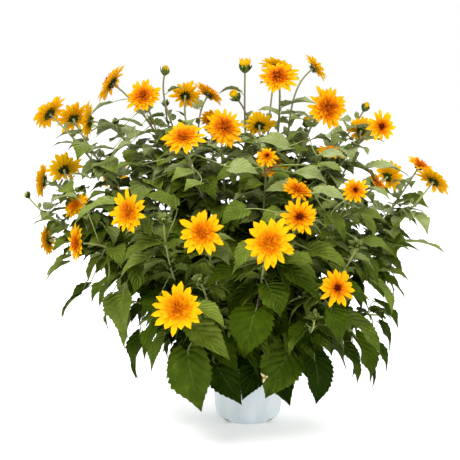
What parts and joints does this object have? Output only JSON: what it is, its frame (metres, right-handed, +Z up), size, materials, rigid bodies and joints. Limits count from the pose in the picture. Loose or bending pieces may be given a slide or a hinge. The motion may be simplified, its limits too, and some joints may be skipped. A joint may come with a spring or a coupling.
{
  "type": "potted sunflower",
  "caption": "Bushy branching potted sunflower: yellow-orange semi-double blooms over dark toothed leaves, in a pale round plastic nursery pot with notched foot.",
  "frame": {"origin": "middle of the pot's underside, on the surface it stands on", "axes": "+Z up along the pot's axis, -Y toward the front side that the picture shows, +X to the right seen from there"},
  "size_m": [0.8417, 0.7031, 0.7332],
  "materials": {
    "pot_plastic": "smooth satin, pale blue-white",
    "potting_soil": "loose, rough, dark brown",
    "foliage": "soft satin green with lighter veins",
    "petals": "velvety yellow, orange toward the middle"
  },
  "bodies": {
    "root": {"pot": "pot_plastic", "soil": "potting_soil", "leafy_stem_back_left": "foliage", "leafy_stem_back_right": "foliage", "leafy_stem_far_left_top": "foliage", "leafy_stem_far_right_top": "foliage", "leafy_stem_front": "foliage", "leafy_stem_front_left": "foliage", "leafy_stem_front_right": "foliage", "leafy_stem_left": "foliage", "leafy_stem_left_top": "foliage", "leafy_stem_low_left": "foliage", "leafy_stem_middle": "foliage", "leafy_stem_middle_left_top": "foliage", "leafy_stem_middle_top": "foliage", "leafy_stem_right": "foliage", "leafy_stem_right_top": "foliage", "bloom_01": "petals", "bloom_02": "petals", "bloom_03": "petals", "bloom_04": "petals", "bloom_05": "petals", "bloom_06": "petals", "bloom_07": "petals", "bloom_08": "petals", "bloom_09": "petals", "bloom_10": "petals", "bloom_11": "petals", "bloom_12": "petals", "bloom_13": "petals", "bloom_14": "petals", "bloom_15": "petals", "bloom_16": "petals", "bloom_17": "petals", "bloom_20": "petals", "bloom_21": "petals", "bloom_22": "petals", "bloom_23": "petals", "bloom_25": "petals", "bloom_26": "petals", "bloom_27": "petals", "bloom_28": "petals", "bloom_29": "petals", "bloom_30": "petals", "bloom_31": "petals", "bloom_32": "petals", "bloom_33": "petals", "bloom_34": "petals", "bloom_35": "petals", "bloom_36": "petals", "bloom_41": "petals", "bloom_42": "petals", "bloom_43": "petals", "bloom_45": "petals", "bloom_51": "petals", "bloom_52": "petals", "bloom_53": "petals", "bloom_54": "petals", "bloom_55": "petals", "bloom_56": "petals"}
  },
  "joints": []
}
